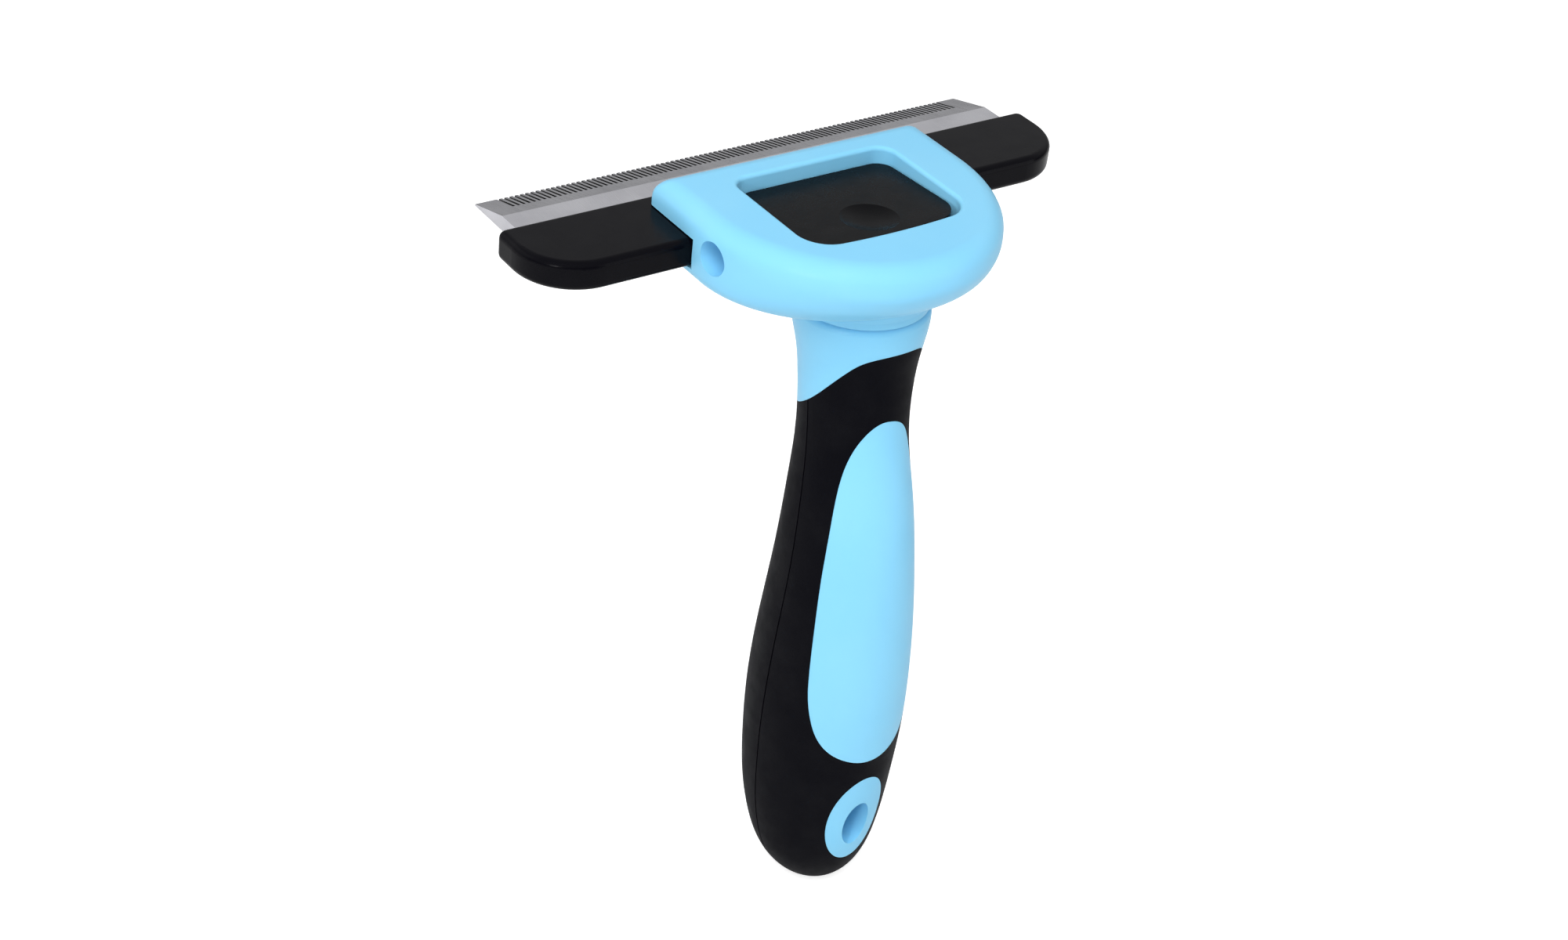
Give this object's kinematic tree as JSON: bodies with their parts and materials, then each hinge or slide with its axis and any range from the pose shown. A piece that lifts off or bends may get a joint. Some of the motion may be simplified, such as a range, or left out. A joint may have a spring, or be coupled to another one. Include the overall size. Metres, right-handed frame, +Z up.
{
  "type": "undercoat rake",
  "caption": "Hand-held pet undercoat rake: a wide fine-toothed steel comb in a slide-out cartridge, a rounded head with a rocker release button, and a soft grip handle.",
  "frame": {"origin": "centre of the hanging hole near the handle's lower end", "axes": "+Z up the handle to the head, +X along the blade, +Y the way the teeth point; -Y is the palm side that the front pad is on"},
  "size_m": [0.1094, 0.0627, 0.1413],
  "materials": {
    "blade_steel": "ground stainless steel",
    "cartridge_black": "black moulded plastic, semi-gloss",
    "fastener_steel": "plated steel",
    "shell_blue": "sky blue moulded plastic, satin",
    "button_black": "black moulded plastic, satin",
    "spring_steel": "spring wire",
    "grip_rubber": "black soft-touch rubber, matte",
    "pad_blue": "sky blue soft-touch rubber, satin"
  },
  "bodies": {
    "root": {"head_housing": "shell_blue", "button_pin": "fastener_steel", "button_spring": "spring_steel", "neck_screws": "fastener_steel", "handle_core": "shell_blue", "grip_front": "grip_rubber", "grip_back": "grip_rubber", "pad_front": "pad_blue", "pad_back": "pad_blue", "hang_sleeve": "pad_blue"},
    "cartridge": {"comb_blade": "blade_steel", "blade_holder": "cartridge_black", "holder_cover": "cartridge_black", "holder_screws": "fastener_steel"},
    "button": {"release_button": "button_black", "latch_leaf": "spring_steel", "leaf_rivet": "fastener_steel"}
  },
  "joints": [
    {"name": "cartridge_slide", "type": "slide", "parent": "root", "child": "cartridge", "axis": [0, 1, 0], "range_m": [0, 0.03], "deforming": ["latch_leaf"]},
    {"name": "button_press", "type": "hinge", "parent": "root", "child": "button", "pos_m": [0, 0.0117, 0.1155], "axis": [1, 0, 0], "range_deg": [0, 7], "stiffness_Nm_per_rad": 0.2, "springref_deg": -8.59, "deforming": ["button_spring"]}
  ]
}
